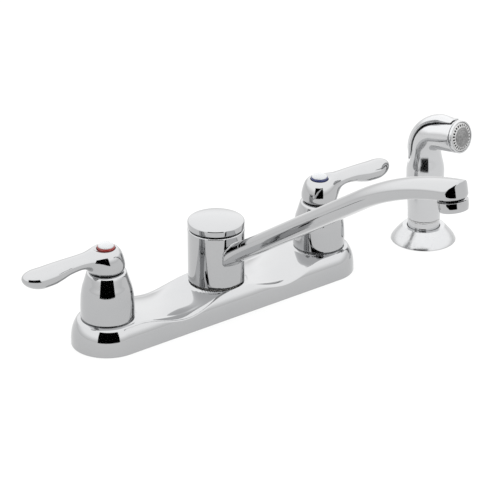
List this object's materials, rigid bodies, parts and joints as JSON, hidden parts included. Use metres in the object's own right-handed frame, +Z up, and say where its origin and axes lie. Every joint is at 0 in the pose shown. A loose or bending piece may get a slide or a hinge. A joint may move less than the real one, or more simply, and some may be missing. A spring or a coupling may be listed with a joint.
{
  "type": "two handle kitchen faucet",
  "caption": "Deck-mounted kitchen faucet with a long swivelling spout, hot and cold lever handles on one base plate, and a pull-up side spray in its own holder.",
  "frame": {"origin": "on the deck, under the spout's swivel axis", "axes": "+X towards the cold handle and the side spray, +Y away from the user, +Z up"},
  "size_m": [0.4033, 0.2805, 0.1848],
  "materials": {
    "chrome": "polished",
    "brass": "machined",
    "steel": "plain",
    "rubber": "matt",
    "dark_plastic": "satin",
    "pale_plastic": "satin",
    "hot_red": "gloss",
    "cold_blue": "gloss"
  },
  "bodies": {
    "base": {"base_plate": "chrome", "base_gasket": "rubber", "waterway": "brass", "seal_lower": "rubber", "seal_upper": "rubber", "glide_ring": "pale_plastic", "spout_clip": "steel", "hot_cartridge": "dark_plastic", "hot_bonnet_nut": "brass", "hot_bell": "chrome", "cold_cartridge": "dark_plastic", "cold_bonnet_nut": "brass", "cold_bell": "chrome", "holder_flange": "chrome", "holder_sleeve": "dark_plastic"},
    "hot_handle": {"hot_stem": "brass", "hot_lever": "chrome", "hot_screw": "steel", "hot_index_ring": "hot_red", "hot_button": "pale_plastic"},
    "cold_handle": {"cold_stem": "brass", "cold_lever": "chrome", "cold_screw": "steel", "cold_index_ring": "cold_blue", "cold_button": "pale_plastic"},
    "spout": {"spout_arm": "chrome", "spout_cap": "chrome", "aerator_shell": "chrome", "aerator_screen": "dark_plastic", "aerator_washer": "rubber"},
    "spray": {"spray_collar": "chrome", "spray_ring": "dark_plastic", "spray_shell": "chrome", "spray_bezel": "chrome", "spray_disc": "dark_plastic"},
    "spray_trigger": {"spray_lever": "chrome"},
    "spray_valve": {"spray_plunger": "steel"}
  },
  "joints": [
    {"name": "hot_turn", "type": "hinge", "parent": "base", "child": "hot_handle", "pos_m": [-0.1016, 0, 0.055], "axis": [0, 0, 1], "range_deg": [0, 90]},
    {"name": "cold_turn", "type": "hinge", "parent": "base", "child": "cold_handle", "pos_m": [0.1016, 0, 0.055], "axis": [0, 0, -1], "range_deg": [0, 90]},
    {"name": "spout_swivel", "type": "hinge", "parent": "base", "child": "spout", "pos_m": [0, 0, 0.04], "axis": [0, 0, 1], "range_deg": [-94, 86]},
    {"name": "spray_lift", "type": "slide", "parent": "base", "child": "spray", "axis": [0, 0, 1], "range_m": [0, 0.04]},
    {"name": "spray_press", "type": "hinge", "parent": "spray", "child": "spray_trigger", "pos_m": [0.20802, -0.03847, 0.11073], "axis": [-0.9903, -0.1392, 0], "range_deg": [0, 2.2], "stiffness_Nm_per_rad": 2, "springref_deg": -2.29},
    {"name": "spray_plunge", "type": "slide", "parent": "spray", "child": "spray_valve", "axis": [0, 0, -1], "range_m": [0, 0.0008]}
  ],
  "couplings": [
    {"joint": "spray_plunge", "follows": "spray_press", "m_per_rad": 0.0208}
  ]
}
